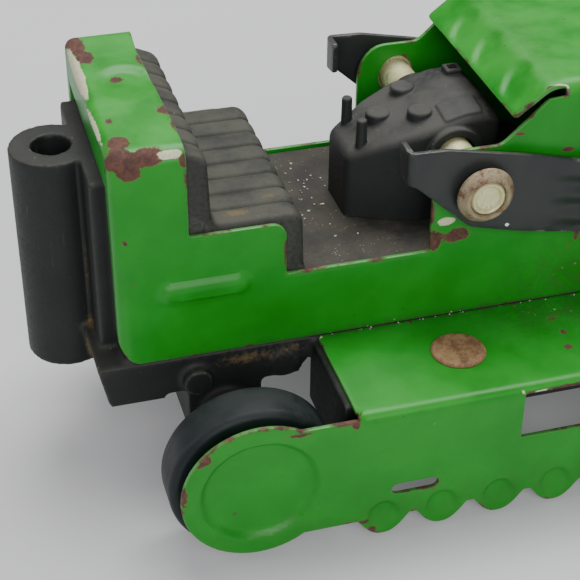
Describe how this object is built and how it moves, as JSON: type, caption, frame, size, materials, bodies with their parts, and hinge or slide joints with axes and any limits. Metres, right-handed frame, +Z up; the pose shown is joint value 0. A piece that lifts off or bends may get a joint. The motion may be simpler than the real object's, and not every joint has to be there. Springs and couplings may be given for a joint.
{
  "type": "toy front loader",
  "caption": "Toy front loader on scalloped track frames, with a pressed-steel body, plastic seat and dash, a rear hitch tube, lifting arms and a tilting bucket.",
  "frame": {"origin": "on the ground plane, below the middle of the bounding box, in the middle plane", "axes": "+X forward towards the bucket, +Y to the driver's left, +Z up"},
  "size_m": [0.19, 0.084, 0.0635],
  "materials": {
    "green_enamel": "semi-gloss green enamel with rust chips",
    "black_plastic": "dusty charcoal plastic",
    "black_enamel": "satin black paint",
    "plated_steel": "yellowed zinc plate",
    "rusty_steel": "rusted steel",
    "wheel_plastic": "dark blue-grey moulded plastic"
  },
  "bodies": {
    "chassis": {"body_shell": "green_enamel", "track_frame_right": "green_enamel", "track_frame_left": "green_enamel", "chassis_base": "black_plastic", "cab_floor": "black_plastic", "seat": "black_plastic", "dash_console": "black_plastic", "grille": "black_plastic", "flange_rivets": "rusty_steel", "rear_axle": "plated_steel", "front_axle": "plated_steel", "axle_push_nuts": "plated_steel", "lift_pivot_rod": "plated_steel", "pivot_caps": "rusty_steel", "arm_spacers": "plated_steel"},
    "lift_arms": {"lift_arm_right": "black_enamel", "lift_arm_left": "black_enamel", "arm_cross_brace": "black_enamel", "bucket_pins": "plated_steel"},
    "loader_bucket": {"bucket": "green_enamel"},
    "wheel_rear_right_body": {"wheel_rear_right": "wheel_plastic"},
    "wheel_rear_left_body": {"wheel_rear_left": "wheel_plastic"},
    "wheel_front_right_body": {"wheel_front_right": "wheel_plastic"},
    "wheel_front_left_body": {"wheel_front_left": "wheel_plastic"}
  },
  "joints": [
    {"name": "arm_lift", "type": "hinge", "parent": "chassis", "child": "lift_arms", "pos_m": [-0.0267, 0, 0.0485], "axis": [0, -1, 0], "range_deg": [0, 55]},
    {"name": "bucket_tilt", "type": "hinge", "parent": "lift_arms", "child": "loader_bucket", "pos_m": [0.0493, 0, 0.016], "axis": [0, -1, 0], "range_deg": [-50, 25]},
    {"name": "wheel_rear_right_spin", "type": "hinge", "parent": "chassis", "child": "wheel_rear_right_body", "pos_m": [-0.0667, -0.033, 0.0132], "axis": [0, 1, 0], "continuous": true},
    {"name": "wheel_rear_left_spin", "type": "hinge", "parent": "chassis", "child": "wheel_rear_left_body", "pos_m": [-0.0667, 0.033, 0.0132], "axis": [0, 1, 0], "continuous": true},
    {"name": "wheel_front_right_spin", "type": "hinge", "parent": "chassis", "child": "wheel_front_right_body", "pos_m": [0.0303, -0.033, 0.0132], "axis": [0, 1, 0], "continuous": true},
    {"name": "wheel_front_left_spin", "type": "hinge", "parent": "chassis", "child": "wheel_front_left_body", "pos_m": [0.0303, 0.033, 0.0132], "axis": [0, 1, 0], "continuous": true}
  ]
}
